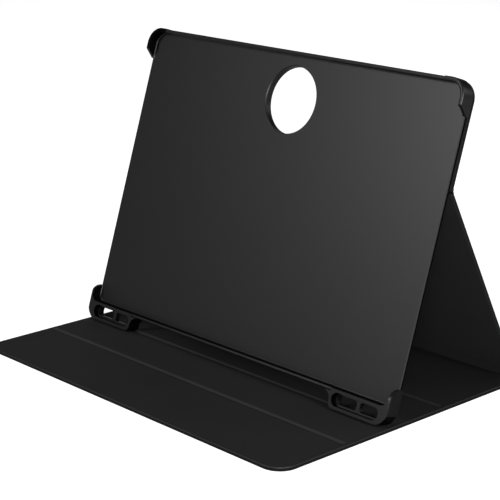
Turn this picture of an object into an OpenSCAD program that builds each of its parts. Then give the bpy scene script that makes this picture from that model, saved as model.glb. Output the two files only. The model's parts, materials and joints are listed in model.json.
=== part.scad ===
// Folio stand case for a tablet: a moulded tray with soft corners, carried by a folding cover.
// The case stands open, with the foot of the tray in the middle groove of the front cover.
// Millimetres. +X runs along the width, +Y towards the back, +Z up, and the table is z = 0.
// The origin is the centre of the front cover's outline, on its underside.

/* [Tray] */
// Width of the hard plate that backs the tablet
plate_w = 270; // [240:1:300]
// Height of the plate's face between the bottom rail and the top rail
plate_h = 186.3; // [165:0.1:210]
// Thickness of the hard plate
plate_t = 2; // [1.6:0.1:2.6]
// Depth of the tray in front of the plate
tray_depth = 7; // [6:0.1:9]
// Chamfer along the plate's short sides
plate_chamfer = 0.5; // [0.2:0.1:0.8]
// Radius of the camera hole
camera_r = 21; // [14:0.5:24]
// Distance of the camera hole's centre below the tray's top edge
camera_drop = 29.5; // [27:0.5:33]
// Wall of the collar that lines the camera hole
collar_wall = 1.2; // [0.8:0.1:2]

/* [Soft rim] */
// Wall of the corner bumpers
bumper_wall = 2.1; // [1.8:0.1:3]
// Wall of the top and bottom rails
rail_wall = 1.7; // [1.4:0.1:2.2]
// Thickness of soft rim that wraps outside the plate's edge
rim_wrap = 1; // [0.6:0.1:1.2]
// Outer radius of the two top corners
corner_r = 11; // [8:0.5:14]
// Height of a top bumper at its full depth, measured down from the top edge
bumper_drop = 14; // [12:0.5:30]
// Reach of a top bumper along the top edge, measured from the side
bumper_reach = 16; // [15:0.5:40]
// Height over which a top bumper's lower end slopes down to the plate
bumper_slope = 6; // [2:0.5:8]
// Radius of the small fillet between the rim and the plate
rim_fillet = 1; // [0.5:0.1:1.5]
// Depth of the rebate in the plate that the foot of the fillet fills
rim_rebate = 0.4; // [0.2:0.1:0.8]
// Amount by which the bead on the rim's nose overhangs the tablet
bead = 0.45; // [0.2:0.05:0.8]

/* [Corner feet] */
// Height of a foot below the tablet's bottom edge, at its rear
foot_h = 11.2; // [9.5:0.1:14]
// Further drop of a foot's underside towards its front edge
foot_toe = 1.1; // [0.6:0.1:1.3]
// Length of the level part of the underside, in front of the rear edge
foot_level = 2.5; // [2:0.1:3]
// Length of a foot along the bottom edge
foot_w = 44.6; // [40:0.1:60]
// Radius of a foot's outer bottom corner
foot_corner_r = 11; // [6:0.5:12]
// Radius of a foot's inner bottom corner, which runs on into the hollow curve under the rail
foot_inner_r = 4.5; // [2:0.5:6]
// Radius of a foot's lower rear edge, which stands in a groove
foot_edge_r = 1.5; // [1:0.1:2]
// Radius of a foot's lower front edge
foot_toe_r = 0.8; // [0.5:0.1:1.2]
// Height of a foot's side wall at its full depth, above the bottom rail
foot_rise = 3.8; // [3:0.1:8]
// Length of the pocket in a foot
pocket_w = 36.2; // [32:0.1:37]
// Height of the pocket
pocket_h = 8.2; // [7.4:0.1:8.4]
// Band between the tablet's bottom edge and the pocket
pocket_top = 1.6; // [1.2:0.1:2]
// Wall between the pocket and the foot's inner end
pocket_side = 1.6; // [1.2:0.1:2.4]
// Distance from the rim's front to the slotted frame in the pocket
frame_recess = 3.6; // [2:0.1:4.5]
// Thickness of the slotted frame
frame_t = 3.3; // [2:0.1:4]
// Border of the slotted frame around its two slots
frame_border = 1.25; // [0.8:0.05:1.3]
// Width of the bar between the two slots
frame_bar = 2.4; // [1.5:0.1:4]

/* [Folding cover] */
// Distance by which the cover stands out past the plate at each side
cover_overhang = 0.5; // [0:0.1:1]
// Length of the front cover, from its front edge to the cover crease
cover_len = 205.2; // [190:0.1:230]
// Corner radius of the front cover
cover_corner_r = 12.6; // [6:0.1:16]
// Width of the spine between its two creases
spine_w = 10.8; // [10:0.1:16]
// Length of the leg, from the spine to the stand fold
leg_len = 138.8; // [138:0.1:142]
// Height of the back panel, from the stand fold to the tray's top edge
back_panel_h = 61.8; // [58:0.1:66]
// Thickness of the outer skin
skin_t = 0.8; // [0.5:0.1:1.2]
// Thickness of the lining
lining_t = 0.6; // [0.3:0.1:0.8]
// Thickness of the stiffening boards in the front cover and the leg
board_t = 1.2; // [0.8:0.1:1.4]
// Thickness of the back panel's board
back_board_t = 1.6; // [1.2:0.1:2]
// Thickness of the skin of the spine
spine_skin_t = 0.6; // [0.4:0.1:0.8]
// Thickness of the thin board of the spine
spine_board_t = 0.4; // [0.2:0.1:0.6]
// Thickness of the lining of the spine
spine_lining_t = 0.4; // [0.2:0.1:0.6]
// Thickness of the adhesive sheet between the tray and the back panel
adhesive_t = 0.25; // [0.1:0.05:0.5]
// Width of skin that is turned up round the boards' edges
skin_turn = 1.2; // [0.8:0.1:2]
// Distance from a crease's axis to the edge of each panel
crease_gap = 0.35; // [0.3:0.05:0.45]

/* [Stand grooves] */
// Distances of the stand grooves from the front edge of the cover
groove_at = [52.4, 89.2, 133.35];
// Groove that the tray stands in: 0 is the front one
groove_used = 1; // [0:1:2]
// Radius of a groove's round section
groove_r = 2.6; // [2.2:0.1:3.2]
// Depth of a groove
groove_depth = 0.6; // [0.4:0.05:0.7]
// Distance from the end of a groove to the cover's side
groove_inset = 4.2; // [3:0.1:4.5]
// Width of the gap between boards under a groove
board_gap = 4.8; // [4.4:0.1:6]
// Gap between the tray's foot and the floor of its groove
foot_gap = 0.3; // [0.2:0.05:0.4]

/* [Closing magnets] */
// Number of magnets along the front edge
magnet_count = 3; // [1:1:5]
// Length of a magnet
magnet_l = 30; // [10:1:40]
// Width of a magnet
magnet_w = 6; // [4:0.5:10]
// Distance from the front edge of the cover to the magnets' middle
magnet_at = 14; // [10:0.5:30]
// Spacing of the magnets
magnet_pitch = 80; // [60:1:90]
// Clearance round each board and magnet
fit_gap = 0.1; // [0.05:0.05:0.2]

/* [Hidden] */
$fn = 64;
over = 1;          // how far a cut runs past the face it opens

// Tray outline, in the tray's own axes: x along the width, y to the back, z up the plate
tray_half = plate_w / 2 + rim_wrap;
rail_top = plate_h + rail_wall;
camera_h = rail_top - camera_drop;
fold_h = rail_top - back_panel_h;
tray_top = rail_top + bumper_wall - rail_wall;
plate_low = rim_wrap - rail_wall;
bumper_low = rail_top - bumper_drop - bumper_slope;
foot_inner = tray_half - foot_w;
foot_low = foot_h + foot_toe;
foot_top = foot_rise + tray_depth;
foot_hollow_r = foot_low - rail_wall - foot_inner_r; // hollow curve between a foot and the rail
rim_inner = tray_half - bumper_wall; // inner face of the bumpers' and feet's side walls
foot_tablet_r = 5; // inner radius of the tray's bottom corners
foot_front_r = 1.2; // radius of a foot's front edge
pocket_x = foot_inner + pocket_side + pocket_w / 2;
pocket_z = -pocket_top - pocket_h / 2;

// Layers of the back panel, behind the plate
back_lining_y = plate_t + adhesive_t;
back_board_y = back_lining_y + lining_t;
back_skin_y = back_board_y + back_board_t;
back_y = back_skin_y + skin_t;
collar_gap = 0.3;

// Layers of the front cover, the leg and the spine, from the outside
cover_w = plate_w + 2 * cover_overhang;
cover_t = skin_t + board_t + lining_t;

// The stand is a triangle: hinge to fold along the spine and leg, fold to foot along the tray,
// and foot to hinge along the front cover. Its three sides set the two slopes.
front_y = -cover_len / 2;
hinge_y = cover_len / 2;
foot_y = front_y + groove_at[groove_used];
foot_z = cover_t - groove_depth + foot_gap + foot_edge_r;
heel = [plate_t - foot_edge_r, foot_edge_r - foot_h];   // centre of the foot's rounded rear edge
fold = [back_y, fold_h];
side_leg = spine_w + leg_len;
side_tray = norm(fold - heel);
side_base = norm([hinge_y - foot_y, foot_z]);
base_slope = atan2(foot_z, hinge_y - foot_y);
leg_angle = base_slope + acos((side_base ^ 2 + side_leg ^ 2 - side_tray ^ 2) / (2 * side_base * side_leg));
fold_y = hinge_y - side_leg * cos(leg_angle);
fold_z = side_leg * sin(leg_angle);
lean = atan2(fold_y - foot_y, fold_z - foot_z) - atan2(fold[0] - heel[0], fold[1] - heel[1]);
tray_y = fold_y - fold[0] * cos(lean) - fold[1] * sin(lean);
tray_z = fold_z + fold[0] * sin(lean) - fold[1] * cos(lean);
cover_bevel = leg_angle / 2;
spine_bevel = 45;
fold_cut = 90;
free_edge = 0;

// Places children given in the tray's axes
module in_tray() translate([0, tray_y, tray_z]) rotate([-lean, 0, 0]) children();

// Places children given as the spine and leg lie when the case is laid flat: y runs on from the
// cover crease and z is the height above the table
module in_leg() translate([0, hinge_y, 0]) rotate([180 - leg_angle, 0, 0]) children();

// A flat outline in x and z, given thickness from y0 to y1
module slab(y0, y1) translate([0, y1, 0]) rotate([90, 0, 0]) linear_extrude(y1 - y0) children();

// A section in y and z, drawn along the x axis from x0 to x1
module run_x(x0, x1) translate([x0, 0, 0]) rotate([90, 0, 90]) linear_extrude(x1 - x0) children();

// A rectangle whose lower corners have radius r0 and upper corners radius r1
module rounded(x0, x1, y0, y1, r0, r1) {
    translate([x0, y0 + r0]) square([x1 - x0, y1 - y0 - r0 - r1]);
    if (r0 > 0) {
        translate([x0 + r0, y0]) square([x1 - x0 - 2 * r0, r0 + over / 2]);
        for (x = [x0 + r0, x1 - r0]) translate([x, y0 + r0]) circle(r0);
    }
    if (r1 > 0) {
        translate([x0 + r1, y1 - r1 - over / 2]) square([x1 - x0 - 2 * r1, r1 + over / 2]);
        for (x = [x0 + r1, x1 - r1]) translate([x, y1 - r1]) circle(r1);
    }
}

// A concave fillet of radius r that fills the corner at the origin, towards +x and +y
module hollow(r) difference() {
    square(r);
    translate([r, r]) circle(r);
}

// ---- Cover panels ----

// What a crease at y = edge takes from a panel that lies towards dir, so that it can fold
// inwards until its inner face stands at the given angle
module crease_cut(edge, dir, angle, back) {
    height = 20;
    cot = cos(angle) / sin(angle);
    start = crease_gap + back;
    run_x(-cover_w, cover_w) polygon([
        [edge - dir * height, -over],
        [edge + dir * (start - over * cot), -over],
        [edge + dir * (start + height * cot), height],
        [edge - dir * height, height]]);
}

// A layer of a panel from y0 to y1. An end is a free edge or a crease with its bevel angle:
// free edges are set in by inset, and creased ends are set back by back.
module layer(y0, y1, z0, z1, end0, end1, r, inset, back) {
    r0 = end0 == free_edge ? max(r - inset, 0) : 0;
    r1 = end1 == free_edge ? max(r - inset, 0) : 0;
    difference() {
        translate([0, 0, z0]) linear_extrude(z1 - z0)
            rounded(inset - cover_w / 2, cover_w / 2 - inset,
                y0 + (end0 == free_edge ? inset : 0), y1 - (end1 == free_edge ? inset : 0), r0, r1);
        if (end0 != free_edge) crease_cut(y0, 1, end0, back);
        if (end1 != free_edge) crease_cut(y1, -1, end1, back);
    }
}

// The outer skin, turned up round the board at its free edges
module panel_skin(y0, y1, skin, board, end0, end1, r) difference() {
    layer(y0, y1, 0, skin + board, end0, end1, r, 0, 0);
    layer(y0 - (end0 == free_edge ? 0 : cover_w), y1 + (end1 == free_edge ? 0 : cover_w),
        skin, skin + board + over, end0 == free_edge ? free_edge : fold_cut,
        end1 == free_edge ? free_edge : fold_cut, r, skin_turn, 0);
}

// The lining, which drops to the skin at each crease
module panel_lining(y0, y1, skin, board, lining, end0, end1, r) {
    layer(y0, y1, skin + board, skin + board + lining, end0, end1, r, 0, 0);
    difference() {
        layer(y0, y1, skin, skin + board, end0, end1, r, skin_turn, 0);
        layer(y0, y1, skin - over, skin + board + over, end0, end1, r, 0, 2 * lining);
    }
}

// The stiffening board between them
module panel_board(y0, y1, skin, board, lining, end0, end1, r)
    layer(y0, y1, skin, skin + board, end0, end1, r, skin_turn + fit_gap, 2 * lining + fit_gap);

// ---- Front cover ----

module front_skin() color("#1b1b1c")
    panel_skin(front_y, hinge_y, skin_t, board_t, free_edge, cover_bevel, cover_corner_r);

module front_lining() color("#232323") difference() {
    union() {
        panel_lining(front_y, hinge_y, skin_t, board_t, lining_t, free_edge, cover_bevel, cover_corner_r);
        // Pressed ribs that carry the grooves down between the boards
        for (g = groove_at) translate([0, front_y + g, cover_t - lining_t - groove_depth / 2])
            cube([cover_w - 2 * groove_inset + 2 * lining_t, board_gap - 2 * fit_gap, groove_depth],
                center = true);
    }
    for (g = groove_at) translate([0, front_y + g, cover_t - groove_depth + groove_r])
        rotate([0, 90, 0]) cylinder(h = cover_w - 2 * groove_inset, r = groove_r, center = true);
}

// The boards' limits along the cover: the front edge, each groove's gap, and the crease
module front_board(i) {
    y0 = i == 0 ? front_y : front_y + groove_at[i - 1] + board_gap / 2;
    y1 = i == len(groove_at) ? hinge_y : front_y + groove_at[i] - board_gap / 2;
    color("#8c8478") difference() {
        intersection() {
            panel_board(front_y, hinge_y, skin_t, board_t, lining_t, free_edge, cover_bevel, cover_corner_r);
            translate([-cover_w / 2, y0, 0]) cube([cover_w, y1 - y0, cover_t]);
        }
        if (i == 0) magnets(fit_gap);
    }
}

module front_board_1() front_board(0);
module front_board_2() front_board(1);
module front_board_3() front_board(2);
module front_board_4() front_board(3);

// The magnets' places along the front edge, each grown by gap in its plane
module magnets(gap) for (i = [0 : magnet_count - 1])
    translate([(i - (magnet_count - 1) / 2) * magnet_pitch, front_y + magnet_at, skin_t + board_t / 2])
        cube([magnet_l + 2 * gap, magnet_w + 2 * gap, board_t + (gap > 0 ? over : 0)], center = true);

module closing_magnets() color("#b9bcc0") magnets(0);

// ---- Spine and leg ----

module spine_skin() color("#1b1b1c") in_leg()
    panel_skin(0, spine_w, spine_skin_t, spine_board_t, cover_bevel, spine_bevel, 0);

module spine_lining() color("#232323") in_leg()
    panel_lining(0, spine_w, spine_skin_t, spine_board_t, spine_lining_t, cover_bevel, spine_bevel, 0);

module spine_board() color("#8c8478") in_leg()
    panel_board(0, spine_w, spine_skin_t, spine_board_t, spine_lining_t, cover_bevel, spine_bevel, 0);

module leg_skin() color("#1b1b1c") in_leg()
    panel_skin(spine_w, side_leg, skin_t, board_t, spine_bevel, fold_cut, 0);

module leg_lining() color("#232323") in_leg()
    panel_lining(spine_w, side_leg, skin_t, board_t, lining_t, spine_bevel, fold_cut, 0);

module leg_board() color("#8c8478") in_leg()
    panel_board(spine_w, side_leg, skin_t, board_t, lining_t, spine_bevel, fold_cut, 0);

// ---- Back panel, glued to the plate above the stand fold ----

// The back panel's outline, set in by inset at its free edges and by low at the fold
module back_outline(inset, low) rounded(inset - cover_w / 2, cover_w / 2 - inset,
    fold_h + low, rail_top - inset, 0, corner_r - inset);

module camera_bore(r, y0, y1) translate([0, y1, camera_h]) rotate([90, 0, 0]) cylinder(h = y1 - y0, r = r);

module back_skin() color("#1b1b1c") in_tray() difference() {
    slab(back_board_y, back_y) back_outline(0, crease_gap);
    slab(back_board_y - over, back_skin_y) back_outline(skin_turn, -over);
    camera_bore(camera_r + collar_wall + collar_gap, back_board_y - over, back_y + over);
}

module back_board() color("#8c8478") in_tray() difference() {
    slab(back_board_y, back_skin_y) back_outline(skin_turn + fit_gap, crease_gap + lining_t);
    camera_bore(camera_r + collar_wall + collar_gap, back_board_y - over, back_skin_y + over);
}

module back_lining() color("#232323") in_tray() difference() {
    slab(back_lining_y, back_board_y) back_outline(0, crease_gap);
    camera_bore(camera_r + collar_wall + collar_gap, back_lining_y - over, back_board_y + over);
}

module back_adhesive() color("#cfc8a8") in_tray() difference() {
    slab(plate_t, back_lining_y) back_outline(3, 3);
    camera_bore(camera_r + collar_wall + 2, plate_t - over, back_lining_y + over);
}

// ---- Tray ----

module plate_outline()
    rounded(-plate_w / 2, plate_w / 2, plate_low, rail_top - rim_wrap, foot_tablet_r, corner_r - rim_wrap);

// The plate's bare face, which the tablet lies on, between the feet of the rim's fillets
module seat_outline() {
    side = rim_inner - rim_fillet;
    rounded(-side, side, rim_fillet, rail_top - rail_wall - rim_fillet,
        foot_tablet_r - rim_fillet, corner_r - bumper_wall - rim_fillet);
    translate([-plate_w / 2 - over, foot_top]) square([plate_w + 2 * over, bumper_low - foot_top]);
}

// The plate without its hole, with a rebate along its edges that the soft rim is moulded into
module plate_blank() difference() {
    slab(0, plate_t) plate_outline();
    slab(-over, rim_rebate) difference() {
        translate([-plate_w / 2 - over, plate_low - over])
            square([plate_w + 2 * over, tray_top - plate_low + over]);
        seat_outline();
    }
}

module tray_plate() color("#2f2f31") in_tray() difference() {
    union() {
        plate_blank();
        camera_bore(camera_r + collar_wall, plate_t / 2, back_y - collar_gap);
    }
    camera_bore(camera_r, -over, back_y + over);
    // Chamfers at the front of the hole and along the short sides
    translate([0, plate_chamfer, camera_h]) rotate([90, 0, 0])
        cylinder(h = plate_chamfer + over, r1 = camera_r, r2 = camera_r + plate_chamfer + over);
    for (side = [0, 1]) mirror([side, 0, 0]) translate([plate_w / 2, 0, foot_top])
        linear_extrude(bumper_low - foot_top) polygon([
            [-plate_chamfer - over, -over], [over, -over], [over, plate_chamfer + over]]);
}

// Section of the fillet at the foot of a rim's inner face, x = 0, with its root in the rebate
module fillet_section() {
    mirror([1, 0]) hollow(rim_fillet);
    translate([-rim_fillet, -rim_rebate]) square([rim_fillet + rail_wall / 2, rim_rebate]);
}

// Section of a rim whose outer face is r from its own axis, as x, against the depth in front of
// the plate, as y: a wall with a round nose, a bead over the tablet, and a fillet on the plate
module rim_section(r, wall) {
    nose = wall / 2;
    bead_r = 0.7;
    translate([r - wall, -plate_t]) square([wall, plate_t + tray_depth - nose]);
    translate([r - nose, tray_depth - nose]) circle(nose);
    translate([r - wall - bead + bead_r, tray_depth - nose]) circle(bead_r);
    translate([r - wall, 0]) fillet_section();
}

// A straight run of rim of the given length along +z, with its outer face towards +x
module rim_run(length, r, wall) mirror([0, 1, 0]) linear_extrude(length) rim_section(r, wall);

// The right-hand top bumper: a side run, the corner and a top run
module bumper_right() difference() {
    union() {
        side_run = tray_top - corner_r - bumper_low;
        translate([tray_half - corner_r, 0, tray_top - corner_r]) {
            translate([0, 0, -side_run]) rim_run(side_run, corner_r, bumper_wall);
            rotate([90, 0, 0]) rotate_extrude(angle = 90) rim_section(corner_r, bumper_wall);
            rotate([0, -90, 0]) rim_run(bumper_reach - corner_r, corner_r, bumper_wall);
        }
    }
    plate_blank();
    // The sloped lower end
    run_x(0, plate_w) polygon([
        [-tray_depth - over, bumper_low - over], [0, bumper_low - over], [0, bumper_low],
        [-tray_depth - over, bumper_low + bumper_slope * (1 + over / tray_depth)]]);
}

module bumper_top_right() color("#161617") in_tray() bumper_right();
module bumper_top_left() color("#161617") in_tray() mirror([1, 0, 0]) bumper_right();

module top_rail() color("#242425") in_tray() difference() {
    translate([tray_half - bumper_reach, 0, 0]) rotate([0, -90, 0])
        rim_run(2 * (tray_half - bumper_reach), rail_top, rail_wall);
    plate_blank();
}

module bottom_rail() color("#242425") in_tray() difference() {
    translate([-foot_inner, 0, 0]) rotate([0, 90, 0])
        rim_run(2 * foot_inner, rail_wall, rail_wall);
    plate_blank();
}

// The fillet between the right-hand foot and the plate, along the foot, round and up the side
module foot_fillet() {
    corner_x = rim_inner - foot_tablet_r;
    translate([foot_inner, 0, 0]) rotate([0, 90, 0]) mirror([0, 1, 0])
        linear_extrude(corner_x - foot_inner) fillet_section();
    translate([corner_x, 0, foot_tablet_r]) {
        rotate([90, 90, 0]) rotate_extrude(angle = 90) translate([foot_tablet_r, 0]) fillet_section();
        translate([foot_tablet_r, 0, 0]) mirror([0, 1, 0])
            linear_extrude(foot_top - foot_tablet_r) fillet_section();
    }
}

// Front view of the right-hand foot with its side wall and the hollow curve under the rail
module foot_outline() {
    difference() {
        translate([foot_inner, -foot_low]) square([foot_w, foot_low]);
        translate([tray_half, -foot_low]) mirror([1, 0]) hollow(foot_corner_r);
        translate([foot_inner, -foot_low]) hollow(foot_inner_r);
    }
    translate([rim_inner, 0]) square([bumper_wall, foot_top]);
    translate([rim_inner, 0]) mirror([1, 0]) hollow(foot_tablet_r);
    translate([foot_inner, -rail_wall]) mirror([1, 0]) mirror([0, 1]) hollow(foot_hollow_r);
}

// Section of a foot, y and z: a round heel in the groove, a level part, and a drop to a round toe
module foot_section() {
    toe = [foot_toe_r - tray_depth, foot_toe_r - foot_low];
    knee = [heel[0] - foot_level, -foot_h];
    drop = knee - toe;
    normal = atan2(drop[1], drop[0]) - acos(foot_toe_r / norm(drop));
    polygon([
        toe + foot_toe_r * [cos(normal), sin(normal)], knee, [heel[0], -foot_h], [plate_t, heel[1]],
        [plate_t, plate_h], [-tray_depth, plate_h], [-tray_depth, toe[1]]]);
    translate(toe) circle(foot_toe_r);
    translate(heel) circle(foot_edge_r);
}

module pocket_outline(inset) rounded(pocket_x - pocket_w / 2 + inset, pocket_x + pocket_w / 2 - inset,
    pocket_z - pocket_h / 2 + inset, pocket_z + pocket_h / 2 - inset,
    pocket_h / 2 - inset - fit_gap / 2, pocket_h / 2 - inset - fit_gap / 2);

module foot_right() difference() {
    union() {
        intersection() {
            slab(-tray_depth, plate_t) foot_outline();
            run_x(0, plate_w) foot_section();
            // The rounded front edge up the side
            linear_extrude(plate_h, center = true)
                rounded(0, tray_half, -tray_depth, plate_t + over, foot_front_r, 0);
        }
        foot_fillet();
    }
    plate_blank();
    slab(-tray_depth - over, plate_t + over) pocket_outline(0);
    // The rounded upper end of the side wall
    run_x(0, plate_w) difference() {
        translate([-tray_depth - over, foot_rise]) square([tray_depth + over, plate_h]);
        translate([0, foot_rise]) circle(tray_depth);
    }
}

module corner_foot_right() color("#161617") in_tray() foot_right();
module corner_foot_left() color("#161617") in_tray() mirror([1, 0, 0]) foot_right();

// The slotted frame set into the right-hand pocket
module frame_right() {
    slot_r = 2;
    slab(-tray_depth + frame_recess, -tray_depth + frame_recess + frame_t) difference() {
        pocket_outline(0);
        for (side = [-1, 1]) {
            edge = pocket_x + side * (pocket_w / 2 - frame_border);
            bar = pocket_x + side * frame_bar / 2;
            rounded(min(edge, bar), max(edge, bar), pocket_z - pocket_h / 2 + frame_border,
                pocket_z + pocket_h / 2 - frame_border, slot_r, slot_r);
        }
    }
}

module slot_frame_right() color("#1f1f20") in_tray() frame_right();
module slot_frame_left() color("#1f1f20") in_tray() mirror([1, 0, 0]) frame_right();

front_skin();
front_lining();
front_board_1();
front_board_2();
front_board_3();
front_board_4();
closing_magnets();
spine_skin();
spine_lining();
spine_board();
leg_skin();
leg_lining();
leg_board();
back_skin();
back_lining();
back_board();
back_adhesive();
tray_plate();
top_rail();
bottom_rail();
bumper_top_left();
bumper_top_right();
corner_foot_left();
corner_foot_right();
slot_frame_left();
slot_frame_right();
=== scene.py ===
"""Looks for the tablet stand case: a moulded tray on a folding leather cover, standing open.

Lengths are in millimetres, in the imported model's frame, and are scaled to metres where a mesh is
made. +X runs along the width, +Y towards the back and +Z up. The tray's own axes lean back with
it: +Y into its plate and +Z up the plate, from the foot of the plate's face.
"""
import json
import math

import bmesh
import bpy
from mathutils import Matrix, Vector

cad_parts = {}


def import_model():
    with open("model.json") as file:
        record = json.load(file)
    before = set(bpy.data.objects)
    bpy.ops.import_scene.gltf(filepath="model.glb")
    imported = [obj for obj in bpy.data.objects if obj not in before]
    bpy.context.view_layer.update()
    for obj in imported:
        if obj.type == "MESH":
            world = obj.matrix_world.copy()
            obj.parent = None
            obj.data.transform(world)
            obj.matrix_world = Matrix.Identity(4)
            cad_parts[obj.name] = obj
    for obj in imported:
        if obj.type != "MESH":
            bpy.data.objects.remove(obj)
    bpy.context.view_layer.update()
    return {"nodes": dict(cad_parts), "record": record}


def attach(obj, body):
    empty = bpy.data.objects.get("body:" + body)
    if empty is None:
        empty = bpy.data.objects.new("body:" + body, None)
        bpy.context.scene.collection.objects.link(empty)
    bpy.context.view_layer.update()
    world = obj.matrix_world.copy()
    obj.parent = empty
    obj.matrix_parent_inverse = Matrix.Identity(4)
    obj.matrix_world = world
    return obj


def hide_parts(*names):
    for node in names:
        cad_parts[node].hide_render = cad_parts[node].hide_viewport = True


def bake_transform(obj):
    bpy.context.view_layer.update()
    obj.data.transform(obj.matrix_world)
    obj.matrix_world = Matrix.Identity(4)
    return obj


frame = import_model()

NODES = frame["nodes"]
BODIES = frame["record"]["behaviour"]["bodies"]
BODY_OF = {name: body for body, names in BODIES.items() for name in names}
MM = 0.001

# The stand as it is packed. Pairs are y and z.
HINGE = (102.6, 0.0)
LEG_ANGLE = math.radians(61.8833)
LEAN = math.radians(17.5456)
TRAY = (-10.9525, 13.1995)  # where the tray's own axes begin
SPINE_W = 10.8
LEG_SIDE = 149.6  # from the hinge to the fold between leg and tray
COVER_W = 271.0
COVER_T = 2.6
FRONT_Y = -102.6
COVER_CORNER = 12.6
BACK_Y = 5.25  # the back panel's outer face, in the tray's axes
OUTER_ROUND = 0.75  # rounding of the skins' outer edges

# The strips of sheet across the creases
STRIP_REACH = 1.5  # how far a strip lies on each of its two panels
STRIP_OUTER = 0.1  # depth of its outer face
STRIP_BEND = 0.45  # length over which its corner is rounded
STRIP_HALF = COVER_W / 2 - 0.05
STRIP_COLUMNS = 41

# The front cover's lining
LINING_EDGE = 0.55  # width of its turned-down edge
LINING_END = 97.4  # where it begins to slope down to the hinge
LINING_SLOPE = ((97.9, 2.57), (98.5, 2.26), (99.3, 1.79), (100.1, 1.31), (100.9, 0.83))  # y and z
LINING_TURN = ((0.2, 0.03), (0.38, 0.1), (0.5, 0.22), (0.54, 0.38), (0.54, 0.62), (0.2, 0.62))  # out and down
LINING_STEP = 6  # between its rows away from the grooves
GROOVES = (-50.2, -13.4, 30.75)
GROOVE_HALF = 2.4
GROOVE_DEPTH = 0.58
GROOVE_END = 133.6  # half the grooves' length
GROOVE_RAMP = 2.2  # length over which a groove's end rises
GROOVE_ROWS = (0.45, 0.9, 1.4, 1.9, 2.4, 3.4)  # rows on each side of a groove's middle
GROOVE_COLUMNS = (0, 0.8, 1.35, 1.6, 1.9, 2.3, 2.7, 3.1, 3.6, 4.3, 5.4, 7.0)  # in from the lining's side
# The far wall of each groove is glossier, and painted lighter as a painted highlight.
PAINTED_HIGHLIGHT_WALL = (-0.3, 2.1)  # the glossier wall of a groove, from the groove's middle

# Where the tray's forms lie, in the tray's axes
PLATE_SIDES = 120  # the plate's sides are further out than this
RIM_BACK = 1.9  # the rim's faces behind this look away from the tray
BUMPERS = 150  # the top bumpers are above this
BUMPER_NOSE = -6  # a bumper's front is before this
FOOT_CORNER = 118  # a foot's outer corner is further out than this
POCKET_X, POCKET_HALF = 111.1, 18.2  # a foot pocket's middle and half its length
POCKET_Z = (-9.9, -1.55)  # its lowest and highest place

FLOOR_HALF = 6000
FLOOR_Z = -0.02

# Each light's name, place, target (metres), size (metres) and power (watts)
LIGHTS = (
    ("key", (-0.6, -1.4, 0.82), (0, 0.02, 0.1), 0.55, 11),
    ("top", (0, 0, 1.8), (0, 0, 0), 1.3, 5.3),
    ("front_right", (1.3, -1.2, 0.25), (0.1, 0.05, 0.06), 0.8, 20.2),
    ("side", (1.5, 0.05, 0.9), (0.1, 0.05, 0.05), 0.6, 2.5),
    ("corner", (1.3, -0.15, 0.4), (0.1, 0.07, 0.02), 0.5, 7.5),
    ("rear_right", (1.2, 1.3, 0.9), (0, 0, 0.1), 0.8, 4),
    ("back", (-1.3, 1.2, 0.9), (0, 0, 0.1), 1.0, 2.5),
)


# ---------------------------------------------------------------- places

def in_tray_axes(p):
    """A direction in the scene, turned into the tray's axes."""
    c, s = math.cos(LEAN), math.sin(LEAN)
    return Vector((p[0], p[1] * c - p[2] * s, p[1] * s + p[2] * c))


def tray_place(p):
    """A place in the scene, in metres, as millimetres in the tray's axes."""
    return in_tray_axes((p[0] / MM, p[1] / MM - TRAY[0], p[2] / MM - TRAY[1]))


def cover_depth(panel, p):
    """Depth in millimetres of a place below a cover panel's outer face."""
    if panel == "front":
        return p[2] / MM
    if panel == "back":
        return BACK_Y - tray_place(p).y
    return -(p[1] / MM - HINGE[0]) * math.sin(LEG_ANGLE) - p[2] / MM * math.cos(LEG_ANGLE)


# ---------------------------------------------------------------- materials

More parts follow.
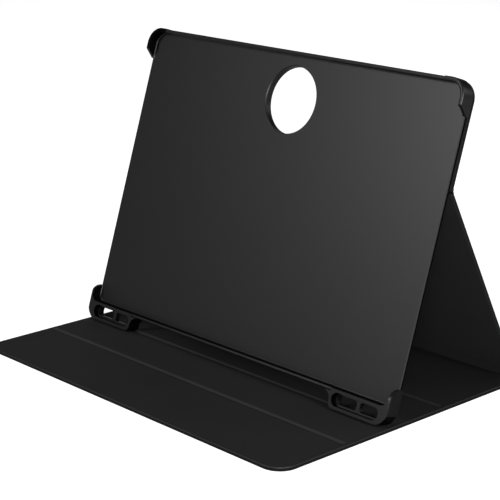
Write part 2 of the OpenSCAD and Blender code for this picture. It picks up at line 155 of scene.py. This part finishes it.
class Nodes:
    """Small helper that adds and links the nodes of one material."""

    def __init__(self, name):
        self.material = bpy.data.materials.new(name)
        self.material.use_nodes = True
        self.tree = self.material.node_tree
        self.shader = self.tree.nodes["Principled BSDF"]
        coordinates = self.tree.nodes.new("ShaderNodeTexCoord")
        self.place = coordinates.outputs["Object"]

    def add(self, kind, **values):
        node = self.tree.nodes.new(kind)
        for key, value in values.items():
            if key in node.inputs:
                node.inputs[key].default_value = value
            else:
                setattr(node, key, value)
        return node

    def link(self, out, into):
        self.tree.links.new(out, into)

    def stretched(self, scale):
        """The object's own coordinates, scaled by a different amount along each axis."""
        mapping = self.add("ShaderNodeMapping")
        mapping.inputs["Scale"].default_value = scale
        self.link(self.place, mapping.inputs["Vector"])
        return mapping.outputs["Vector"]

    def noise(self, scale, detail=3.0, roughness=0.55, vector=None):
        node = self.add("ShaderNodeTexNoise", Scale=scale, Detail=detail, Roughness=roughness)
        self.link(vector or self.place, node.inputs["Vector"])
        return node.outputs["Fac"]

    def cells(self, scale, feature="F1"):
        node = self.add("ShaderNodeTexVoronoi", Scale=scale, feature=feature)
        self.link(self.place, node.inputs["Vector"])
        return node.outputs["Distance"]

    def spread(self, source, low, high, to_low, to_high):
        """A value from one range, clamped and stretched to another."""
        node = self.add("ShaderNodeMapRange")
        node.inputs["From Min"].default_value = low
        node.inputs["From Max"].default_value = high
        node.inputs["To Min"].default_value = to_low
        node.inputs["To Max"].default_value = to_high
        self.link(source, node.inputs["Value"])
        return node.outputs["Result"]

    def sum(self, a, b, weight):
        """a plus b times weight."""
        node = self.add("ShaderNodeMath", operation="MULTIPLY_ADD")
        self.link(b, node.inputs[0])
        node.inputs[1].default_value = weight
        self.link(a, node.inputs[2])
        return node.outputs["Value"]

    def tint(self, factor, dark, light):
        """The surface's colour, from dark to light as the factor goes from 0 to 1."""
        ramp = self.add("ShaderNodeValToRGB")
        ramp.color_ramp.elements[0].color = (*dark, 1)
        ramp.color_ramp.elements[1].color = (*light, 1)
        self.link(factor, ramp.inputs["Fac"])
        self.link(ramp.outputs["Color"], self.shader.inputs["Base Color"])

    def roughness(self, factor, low, high, at_low, at_high):
        """The surface's roughness, between two values as the factor goes from low to high."""
        self.link(self.spread(factor, low, high, at_low, at_high), self.shader.inputs["Roughness"])

    def set(self, socket, value):
        self.shader.inputs[socket].default_value = value

    def relief(self, height, strength, distance):
        bump = self.add("ShaderNodeBump", Strength=strength, Distance=distance)
        self.link(height, bump.inputs["Height"])
        self.link(bump.outputs["Normal"], self.shader.inputs["Normal"])


def grey(value):
    """A neutral colour of the given linear lightness."""
    return (value, value, value)


def leather():
    n = Nodes("leather")
    pebbles = n.cells(1500)
    creases = n.cells(900, "DISTANCE_TO_EDGE")
    blotch = n.noise(28)
    fine = n.noise(5200, 2.0)
    n.tint(n.spread(blotch, 0.3, 0.7, 0.0, 1.0), grey(0.0170), grey(0.0220))
    n.roughness(creases, 0.0, 0.25, 0.72, 0.54)
    n.set("Specular IOR Level", 0.4)
    n.relief(n.sum(n.sum(creases, pebbles, -0.35), fine, 0.12), 0.5, 0.00012)
    return n.material


def microfibre(name, lift, gloss):
    """The lining's cloth. A lift above 1 makes it lighter as painted light or a painted highlight, and one
    below 1 darker as painted shade; gloss makes it glossier.
    """
    n = Nodes(name)
    mottle = n.noise(22, 4.0)
    nap = n.noise(2600, 3.0, 0.7, n.stretched((1.0, 0.35, 1.0)))
    fibres = n.noise(7800, 2.0)
    n.tint(n.spread(mottle, 0.3, 0.7, 0.0, 1.0), grey(0.0195 * lift), grey(0.0220 * lift))
    n.roughness(nap, 0.3, 0.7, 0.78 - gloss, 0.9 - gloss)
    n.set("Specular IOR Level", 0.10 + gloss)
    n.relief(n.sum(nap, fibres, 0.4), 0.22, 0.00006)
    return n.material


def satin_plastic():
    n = Nodes("satin_plastic")
    spark = n.noise(3400, 4.0, 0.65)
    pits = n.cells(2600)
    flow = n.noise(9, 2.0)
    n.tint(n.spread(flow, 0.35, 0.65, 0.0, 1.0), grey(0.0042), grey(0.0050))
    n.roughness(spark, 0.3, 0.7, 0.36, 0.44)
    n.set("Specular IOR Level", 0.5)
    n.relief(n.sum(spark, pits, 0.3), 0.12, 0.00004)
    return n.material


def soft_plastic():
    n = Nodes("soft_plastic")
    skin = n.noise(2800, 3.0, 0.6)
    cloud = n.noise(45, 3.0)
    n.tint(n.spread(cloud, 0.3, 0.7, 0.0, 1.0), grey(0.0030), grey(0.0040))
    n.roughness(skin, 0.3, 0.7, 0.34, 0.42)
    n.set("Specular IOR Level", 0.5)
    n.relief(skin, 0.1, 0.00004)
    return n.material


def matte_painted_shade(name, tone, gloss):
    """A matte copy of a finish, painted in a darker tone as painted shade: inside the rim, at the feet's
    sides, at the plate's sides and chamfer and at the cover's sides.
    """
    n = Nodes(name)
    skin = n.noise(2800, 3.0, 0.6)
    n.tint(skin, grey(tone * 0.75), grey(tone * 1.25))
    n.roughness(skin, 0.3, 0.7, 0.56, 0.66)
    n.set("Specular IOR Level", gloss)
    n.relief(skin, 0.1, 0.00004)
    return n.material


def edge_coat():
    """The painted edge of the front cover's lining."""
    n = Nodes("edge_coat")
    fine = n.noise(1800, 3.0, 0.6)
    n.tint(fine, grey(0.0065), grey(0.0090))
    n.roughness(fine, 0.3, 0.7, 0.38, 0.48)
    n.set("Specular IOR Level", 0.55)
    n.relief(fine, 0.15, 0.00005)
    return n.material


def fibre_board():
    n = Nodes("fibre_board")
    strands = n.noise(700, 5.0, 0.7, n.stretched((0.3, 1.0, 1.0)))
    n.tint(n.spread(strands, 0.3, 0.7, 0.0, 1.0), (0.20, 0.18, 0.15), (0.31, 0.29, 0.25))
    n.set("Roughness", 0.85)
    n.relief(strands, 0.3, 0.00008)
    return n.material


def nickel():
    n = Nodes("nickel")
    brush = n.noise(900, 4.0, 0.6, n.stretched((0.05, 1.0, 1.0)))
    n.tint(brush, grey(0.46), grey(0.56))
    n.roughness(brush, 0.3, 0.7, 0.25, 0.4)
    n.set("Metallic", 1.0)
    n.relief(brush, 0.1, 0.00002)
    return n.material


def film():
    n = Nodes("adhesive_film")
    bubbles = n.noise(300, 3.0)
    n.tint(bubbles, (0.5, 0.47, 0.34), (0.64, 0.6, 0.46))
    n.roughness(bubbles, 0.3, 0.7, 0.3, 0.5)
    n.relief(bubbles, 0.2, 0.00003)
    return n.material


LEATHER = leather()
MICROFIBRE = microfibre("microfibre", 1.0, 0.0)
# Painted highlight: the far wall of each groove, lighter and glossier.
GROOVE_PAINTED_HIGHLIGHT = microfibre("microfibre_groove_painted_highlight", 1.4, 0.15)
# Painted light: the cloth by the hinge, lighter against the crease's shade.
HINGE_PAINTED_LIGHT = microfibre("microfibre_hinge_painted_light", 2.2, 0.0)
# Painted shade: the spine lining's slope by the leg, darker.
SPINE_PAINTED_SHADE = microfibre("microfibre_spine_painted_shade", 0.72, 0.0)
SATIN = satin_plastic()
SOFT = soft_plastic()
# Painted shade: near-black plastic inside the rim and pockets, under the feet's outer corners, on the plate's
# sides and on the top-left bumper's front.
SOFT_PAINTED_SHADE = matte_painted_shade("soft_plastic_painted_shade", 0.0006, 0.04)
# The plate's chamfer: rougher, and painted a little darker as painted shade to dim its highlight.
PLATE_CHAMFER_PAINTED_SHADE = matte_painted_shade("plate_chamfer", 0.0035, 0.4)
# Painted shade: the feet's outer sides, less glossy and a little darker.
SOFT_SIDE_PAINTED_SHADE = matte_painted_shade("soft_plastic_side_painted_shade", 0.0030, 0.16)
EDGE = edge_coat()
# Painted shade: the cover's sides, darker than the edge coat.
EDGE_SIDE_PAINTED_SHADE = matte_painted_shade("edge_coat_side_painted_shade", 0.0038, 0.16)
INNER = {"board": fibre_board(), "closing_magnets": nickel(), "back_adhesive": film()}


# ---------------------------------------------------------------- meshes

def smooth(mesh, angle):
    for face in mesh.polygons:
        face.use_smooth = True
    mesh.set_sharp_from_angle(angle=math.radians(angle))


def new_object(name, points, faces, materials, angle=35):
    """An object from points in millimetres."""
    mesh = bpy.data.meshes.new(name)
    mesh.from_pydata([tuple(c * MM for c in p) for p in points], [], faces)
    bm = bmesh.new()
    bm.from_mesh(mesh)
    bmesh.ops.recalc_face_normals(bm, faces=bm.faces)
    bm.to_mesh(mesh)
    bm.free()
    for material in materials:
        mesh.materials.append(material)
    smooth(mesh, angle)
    obj = bpy.data.objects.new(name, mesh)
    bpy.context.scene.collection.objects.link(obj)
    return obj


def clean_form(node):
    """A CAD node's form as a bmesh, with its flat facets joined."""
    bm = bmesh.new()
    bm.from_mesh(NODES[node].data)
    bmesh.ops.remove_doubles(bm, verts=bm.verts, dist=1e-6)
    bmesh.ops.dissolve_limit(bm, angle_limit=math.radians(0.3), verts=bm.verts, edges=bm.edges)
    return bm


def stand_for(obj, node):
    """Puts an object in a CAD node's place, on that node's body."""
    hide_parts(node)
    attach(obj, BODY_OF[node])


def softened(node, name, materials, width, segments=2, angle=30, panel=None, pick=None):
    """Puts a copy of a CAD node's form, with its edges rounded, in the node's place.

    panel names the cover panel whose outer edges are rounded more. pick gives the number of a
    face's material from its place and direction in the tray's axes.
    """
    bm = clean_form(node)
    if panel:
        outer = [e for e in bm.edges if len(e.link_faces) == 2 and e.calc_face_angle() > math.radians(60)
                 and all(cover_depth(panel, v.co) < 0.02 for v in e.verts)
                 and any(abs(f.normal.x) > 0.5 or abs(e.verts[0].co.x - e.verts[1].co.x) > 0.0001
                         for f in e.link_faces)]
        bmesh.ops.bevel(bm, geom=outer, offset=OUTER_ROUND * MM, segments=4, profile=0.5, affect="EDGES",
                        clamp_overlap=True)
    for face in bm.faces:
        place, normal = tray_place(face.calc_center_median()), in_tray_axes(face.normal)
        face.material_index = int(pick(place, normal)) if pick else 0
    bm.verts.index_update()
    corners = [[v.index for v in face.verts] for face in bm.faces]
    mesh = bpy.data.meshes.new(name)
    mesh.from_pydata([v.co.copy() for v in bm.verts], [], corners)
    mesh.polygons.foreach_set("material_index", [face.material_index for face in bm.faces])
    bm.free()
    for material in materials:
        mesh.materials.append(material)
    smooth(mesh, angle)
    obj = bpy.data.objects.new(name, mesh)
    bpy.context.scene.collection.objects.link(obj)
    bevel = obj.modifiers.new("edges", "BEVEL")
    bevel.width = width * MM
    bevel.segments = segments
    bevel.limit_method = "ANGLE"
    bevel.angle_limit = math.radians(angle)
    bevel.harden_normals = True
    bevel.use_clamp_overlap = True
    stand_for(obj, node)


def is_side(place, normal):
    """Whether a face is at a panel's side, which gets painted shade."""
    return abs(normal.x) > 0.8


def spine_face(place, normal):
    """1 for the spine lining's sides, 2 for its slope by the leg and 3 for the one by the front cover. The
    sides and the slope by the leg get painted shade, and the slope by the front cover painted light.
    """
    if abs(normal.x) > 0.8:
        return 1
    if normal.y < -0.8 and normal.z > -0.6:
        return 2
    return 3 if normal.z < -0.85 else 0


def plate_side(place, normal):
    """1 for the chamfer along the plate's sides, rougher and painted a little darker as painted shade, and 2
    for the sides themselves, painted near black as painted shade.
    """
    if abs(place.x) < PLATE_SIDES or abs(normal.x) < 0.3:
        return 0
    return 2 if abs(normal.x) > 0.9 else 1


def is_front_edge(place, normal):
    """Whether a face is on the standing edge of the front cover, at its sides or its front, which gets
    painted shade.
    """
    return abs(normal.x) > 0.35 or normal.y * math.cos(LEAN) + normal.z * math.sin(LEAN) < -0.35


def foot_face(place, normal):
    """1 for a foot's faces that look inwards or under its outer corner, which get painted shade, and 2 for
    its outer side, which gets a less glossy copy painted a little darker as painted shade.
    """
    side = 1 if place.x > 0 else -1
    if side * normal.x > 0.1 and normal.z < -0.3 and abs(place.x) > FOOT_CORNER:
        return 1
    if side * normal.x > 0.5:
        return 1 if painted_shade_face(place, normal) else 2
    return painted_shade_face(place, normal)


def painted_shade_face(place, normal):
    """Whether a face of the soft rim gets painted shade, as it looks into the tray, a pocket or the hollow by
    a foot.

    The front of the top-left bumper gets the same painted shade, as it is as dark.
    """
    side = 1 if place.x > 0 else -1
    if side < 0 and place.z > BUMPERS and place.y < BUMPER_NOSE:
        return True
    front = -0.2 if place.z > BUMPERS and side > 0 else -0.5
    if normal.y < front or place.y > RIM_BACK:
        return False
    in_pocket = abs(abs(place.x) - POCKET_X) < POCKET_HALF and POCKET_Z[0] < place.z < POCKET_Z[1]
    return (in_pocket and abs(normal.y) < 0.5) or -side * normal.x > 0.3 or (place.z < 2 and normal.z > 0.3)


# ---------------------------------------------------------------- front lining

def pressed(x, y):
    """Depth of the pressed stand grooves at a place on the front lining."""
    depth = 0.0
    for at in GROOVES:
        across = abs(y - at) / GROOVE_HALF
        along = min((GROOVE_END - abs(x)) / GROOVE_RAMP, 1.0)
        if across < 1 and along > 0:
            eased = along * along * (3 - 2 * along)
            depth = max(depth, GROOVE_DEPTH * math.cos(across * math.pi / 2) ** 2 * eased)
    return depth


def lining_rows():
    """Rows across the front lining: y, half width, height and outward direction at the end."""
    radius = COVER_CORNER - LINING_EDGE
    half = COVER_W / 2 - LINING_EDGE
    rows = []
    for step in range(11):
        a = math.radians(9 * step)
        y = FRONT_Y + LINING_EDGE + radius * (1 - math.cos(a))
        rows.append((y, half - radius * (1 - math.sin(a)), COVER_T, (math.sin(a), -math.cos(a))))
    steps = [-t for t in GROOVE_ROWS] + [0] + list(GROOVE_ROWS)
    places = [g + t for g in GROOVES for t in steps]
    place = rows[-1][0] + LINING_STEP
    while place < LINING_END:
        if all(abs(place - g) > 5 for g in GROOVES):
            places.append(place)
        place += LINING_STEP
    rows += [(y, half, COVER_T, (1, 0)) for y in sorted(places) + [LINING_END]]
    return rows + [(y, half, z, (1, 0)) for y, z in LINING_SLOPE]


def front_lining():
    """The lining of the front cover, one soft sheet with three grooves pressed into it."""
    rows = lining_rows()
    widest = COVER_W / 2 - LINING_EDGE
    right = [widest - c for c in GROOVE_COLUMNS] + list(range(124, 0, -4))
    across = [-x / widest for x in right] + [0] + [x / widest for x in reversed(right)]
    points, faces = [], []
    for y, half, z, out in rows:
        points += [(half * u, y, z - pressed(half * u, y)) for u in across]
    wide, deep = len(across), len(rows)
    for r in range(deep - 1):
        for c in range(wide - 1):
            at = r * wide + c
            faces.append([at, at + 1, at + wide + 1, at + wide])
    # The border's points, each with its outward direction and how much its height drops
    loop = [(c, (0, -1), 1) for c in range(wide)]
    loop += [(r * wide + wide - 1, rows[r][3], 1) for r in range(1, deep - 1)]
    loop += [((deep - 1) * wide + c, (0, 0), 0.02) for c in range(wide - 1, -1, -1)]
    loop += [(r * wide, (-rows[r][3][0], rows[r][3][1]), 1) for r in range(deep - 2, 0, -1)]
    previous = [index for index, out, scale in loop]
    top = len(faces)
    for d, drop in LINING_TURN:
        ring = []
        for index, out, scale in loop:
            x, y, z = points[index]
            ring.append(len(points))
            points.append((x + out[0] * d, y + out[1] * d, z - drop * scale))
        count = len(ring)
        for k in range(count):
            n = (k + 1) % count
            faces.append([previous[k], ring[k], ring[n], previous[n]])
        previous = ring
    faces.append(previous)
    obj = new_object("cover_lining_front", points, faces, [MICROFIBRE, EDGE, GROOVE_PAINTED_HIGHLIGHT, HINGE_PAINTED_LIGHT], 40)
    for poly in obj.data.polygons:
        place = poly.center / MM
        # The far wall of a groove gets a painted highlight.
        on_highlight_wall = any(PAINTED_HIGHLIGHT_WALL[0] < place.y - g < PAINTED_HIGHLIGHT_WALL[1] for g in GROOVES)
        if poly.index >= top:
            poly.material_index = 1
        elif on_highlight_wall and pressed(place.x, place.y) > 0.03:
            poly.material_index = 2
        # The lining's slope by the hinge gets painted light.
        elif place.y > LINING_END:
            poly.material_index = 3
    stand_for(obj, "front_lining")


# ---------------------------------------------------------------- creases

def bent_path(first, corner, last, radius, steps=8):
    """Points from first to last by way of a corner that is rounded over the given length."""
    first, corner, last = Vector(first), Vector(corner), Vector(last)
    a = corner + (first - corner).normalized() * min(radius, (first - corner).length * 0.8)
    b = corner + (last - corner).normalized() * min(radius, (last - corner).length * 0.8)
    points = [first]
    for i in range(steps + 1):
        t = i / steps
        points.append(a * (1 - t) ** 2 + corner * (2 * t * (1 - t)) + b * t ** 2)
    points.append(last)
    return points


def crease_strip(name, at, dir_a, in_a, dir_b, in_b, inner, lining):
    """A strip of sheet across a crease, bent at rest.

    at is the crease in y and z. dir_a and dir_b run from it along the two panels, and in_a and
    in_b point into them. inner is the depth of the strip's inner face.
    """
    at, dir_a, in_a, dir_b, in_b = (Vector(v) for v in (at, dir_a, in_a, dir_b, in_b))

    def face(depth):
        first = at + dir_a * STRIP_REACH + in_a * depth
        last = at + dir_b * STRIP_REACH + in_b * depth
        cross = dir_a.x * dir_b.y - dir_a.y * dir_b.x
        if abs(cross) < 1e-3:
            corner = (first + last) / 2
        else:
            offset = in_b * depth - in_a * depth
            corner = at + in_a * depth + dir_a * ((offset.x * dir_b.y - offset.y * dir_b.x) / cross)
        return bent_path(first, corner, last, STRIP_BEND)

    outside, inside = face(STRIP_OUTER), face(inner)
    ring = outside + inside[::-1]
    points = []
    for c in range(STRIP_COLUMNS):
        x = -STRIP_HALF + 2 * STRIP_HALF * c / (STRIP_COLUMNS - 1)
        points += [(x, p.x, p.y) for p in ring]
    size = len(ring)
    faces = [list(range(size)), [(STRIP_COLUMNS - 1) * size + k for k in range(size)][::-1]]
    for c in range(STRIP_COLUMNS - 1):
        for k in range(size):
            n = (k + 1) % size
            faces.append([c * size + k, (c + 1) * size + k, (c + 1) * size + n, c * size + n])
    obj = new_object(name, points, faces, [LEATHER, lining], 50)
    for poly in obj.data.polygons:
        poly.material_index = int(min(v % size for v in poly.vertices) >= len(outside))
    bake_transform(obj)


def creases():
    spine_dir = (-math.cos(LEG_ANGLE), math.sin(LEG_ANGLE))
    spine_in = (-math.sin(LEG_ANGLE), -math.cos(LEG_ANGLE))
    down = (-spine_dir[0], -spine_dir[1])
    up = (math.sin(LEAN), math.cos(LEAN))
    up_in = (-math.cos(LEAN), math.sin(LEAN))
    spine_top = (HINGE[0] + spine_dir[0] * SPINE_W, HINGE[1] + spine_dir[1] * SPINE_W)
    fold = (HINGE[0] + spine_dir[0] * LEG_SIDE, HINGE[1] + spine_dir[1] * LEG_SIDE)
    # The hinge strip's cloth gets painted light against the crease's shade.
    crease_strip("crease_cover", HINGE, (-1, 0), (0, 1), spine_dir, spine_in, 0.5,
                 HINGE_PAINTED_LIGHT)
    crease_strip("crease_spine", spine_top, down, spine_in, spine_dir, spine_in, 0.5,
                 MICROFIBRE)
    crease_strip("crease_fold", fold, down, spine_in, up, up_in, 0.6,
                 MICROFIBRE)


# ---------------------------------------------------------------- pieces

def cover_pieces():
    # The panels' sides get painted shade.
    skin, lining = [LEATHER, EDGE_SIDE_PAINTED_SHADE], [MICROFIBRE, EDGE_SIDE_PAINTED_SHADE]
    softened("front_skin", "cover_skin_front", skin, 0.12, 2, 40, "front", is_front_edge)
    front_lining()
    softened("spine_skin", "cover_skin_spine", skin, 0.25, pick=is_side)
    softened("spine_lining", "cover_lining_spine", lining + [SPINE_PAINTED_SHADE, HINGE_PAINTED_LIGHT], 0.12, pick=spine_face)
    softened("leg_skin", "cover_skin_leg", skin, 0.2, 2, 40, "leg", is_side)
    softened("leg_lining", "cover_lining_leg", lining, 0.25, 3, pick=is_side)
    softened("back_skin", "cover_skin_back", skin, 0.2, 2, 40, "back", is_side)
    softened("back_lining", "cover_lining_back", lining, 0.15, pick=is_side)


def tray_pieces():
    # Painted shade on the plate's chamfer and sides, the rim's inward faces, the feet's outer sides and the
    # top-left bumper's front.
    softened("tray_plate", "tray_plate_moulded", [SATIN, PLATE_CHAMFER_PAINTED_SHADE, SOFT_PAINTED_SHADE], 0.12, pick=plate_side)
    softened("top_rail", "top_rail_moulded", [SOFT], 0.15, 2, 40)
    for node in ("bottom_rail", "bumper_top_left", "bumper_top_right"):
        softened(node, node + "_moulded", [SOFT, SOFT_PAINTED_SHADE], 0.15, 2, 40, pick=painted_shade_face)
    for side in ("left", "right"):
        foot, slots = "corner_foot_" + side, "slot_frame_" + side
        softened(foot, foot + "_moulded", [SOFT, SOFT_PAINTED_SHADE, SOFT_SIDE_PAINTED_SHADE], 0.3, 3, 32, pick=foot_face)
        softened(slots, slots + "_moulded", [SOFT], 0.25, 3, 40)


def inner_materials():
    """Finishes for the CAD nodes inside the cover, which stay as they are."""
    for name, node in NODES.items():
        for key, material in INNER.items():
            if key in name:
                node.data.materials.clear()
                node.data.materials.append(material)


# ---------------------------------------------------------------- studio

def floor():
    """A pale floor that keeps the object's shadow and shows white to the camera."""
    corners = [(x * FLOOR_HALF, y * FLOOR_HALF, FLOOR_Z) for x, y in ((-1, -1), (1, -1), (1, 1), (-1, 1))]
    obj = new_object("floor", corners, [[0, 1, 2, 3]], [])
    material = bpy.data.materials.new("floor")
    material.use_nodes = True
    tree = material.node_tree
    tree.nodes.clear()
    diffuse = tree.nodes.new("ShaderNodeBsdfDiffuse")
    diffuse.inputs["Color"].default_value = (0.6, 0.6, 0.6, 1)
    glow = tree.nodes.new("ShaderNodeEmission")
    glow.inputs["Strength"].default_value = 0.85
    path = tree.nodes.new("ShaderNodeLightPath")
    mix = tree.nodes.new("ShaderNodeMixShader")
    add = tree.nodes.new("ShaderNodeAddShader")
    out = tree.nodes.new("ShaderNodeOutputMaterial")
    tree.links.new(diffuse.outputs[0], add.inputs[0])
    tree.links.new(glow.outputs[0], add.inputs[1])
    tree.links.new(path.outputs["Is Camera Ray"], mix.inputs["Fac"])
    tree.links.new(diffuse.outputs[0], mix.inputs[1])
    tree.links.new(add.outputs[0], mix.inputs[2])
    tree.links.new(mix.outputs[0], out.inputs["Surface"])
    obj.data.materials.append(material)


def background(tree, strength):
    node = tree.nodes.new("ShaderNodeBackground")
    node.inputs["Color"].default_value = (1, 1, 1, 1)
    node.inputs["Strength"].default_value = strength
    return node.outputs[0]


def world():
    """A white background for the camera, with very little light from it on the object."""
    scene_world = bpy.data.worlds.new("studio")
    bpy.context.scene.world = scene_world
    scene_world.use_nodes = True
    tree = scene_world.node_tree
    tree.nodes.clear()
    path = tree.nodes.new("ShaderNodeLightPath")
    mix = tree.nodes.new("ShaderNodeMixShader")
    out = tree.nodes.new("ShaderNodeOutputWorld")
    tree.links.new(path.outputs["Is Camera Ray"], mix.inputs["Fac"])
    tree.links.new(background(tree, 0.01), mix.inputs[1])
    tree.links.new(background(tree, 1.0), mix.inputs[2])
    tree.links.new(mix.outputs[0], out.inputs["Surface"])


def area_light(name, place, target, size, power):
    light = bpy.data.lights.new(name, "AREA")
    light.shape = "DISK"
    light.size = size
    light.energy = power
    obj = bpy.data.objects.new(name, light)
    obj.location = place
    obj.rotation_euler = (Vector(target) - Vector(place)).to_track_quat("-Z", "Y").to_euler()
    bpy.context.scene.collection.objects.link(obj)


def camera():
    """The camera, at the place and with the lens that the case's outline gives."""
    azimuth, pitch, roll = math.radians(46.70), math.radians(16.08), math.radians(0.263)
    level_part = math.cos(pitch)
    back = Vector((math.sin(azimuth) * level_part, -math.cos(azimuth) * level_part, math.sin(pitch)))
    level = Vector((math.cos(azimuth), math.sin(azimuth), 0))
    upright = back.cross(level)
    right = level * math.cos(roll) + upright * math.sin(roll)
    up = upright * math.cos(roll) - level * math.sin(roll)
    data = bpy.data.cameras.new("camera")
    data.lens = 115.43
    data.sensor_width = 36
    obj = bpy.data.objects.new("camera", data)
    matrix = Matrix((right, up, back)).transposed().to_4x4()
    matrix.translation = Vector((0.69162, -0.64839, 0.34853))
    obj.matrix_world = matrix
    bpy.context.scene.collection.objects.link(obj)
    bpy.context.scene.camera = obj


camera()
cover_pieces()
tray_pieces()
creases()
inner_materials()
floor()
world()
for light in LIGHTS:
    area_light(*light)
bpy.context.scene.view_settings.view_transform = "Standard"
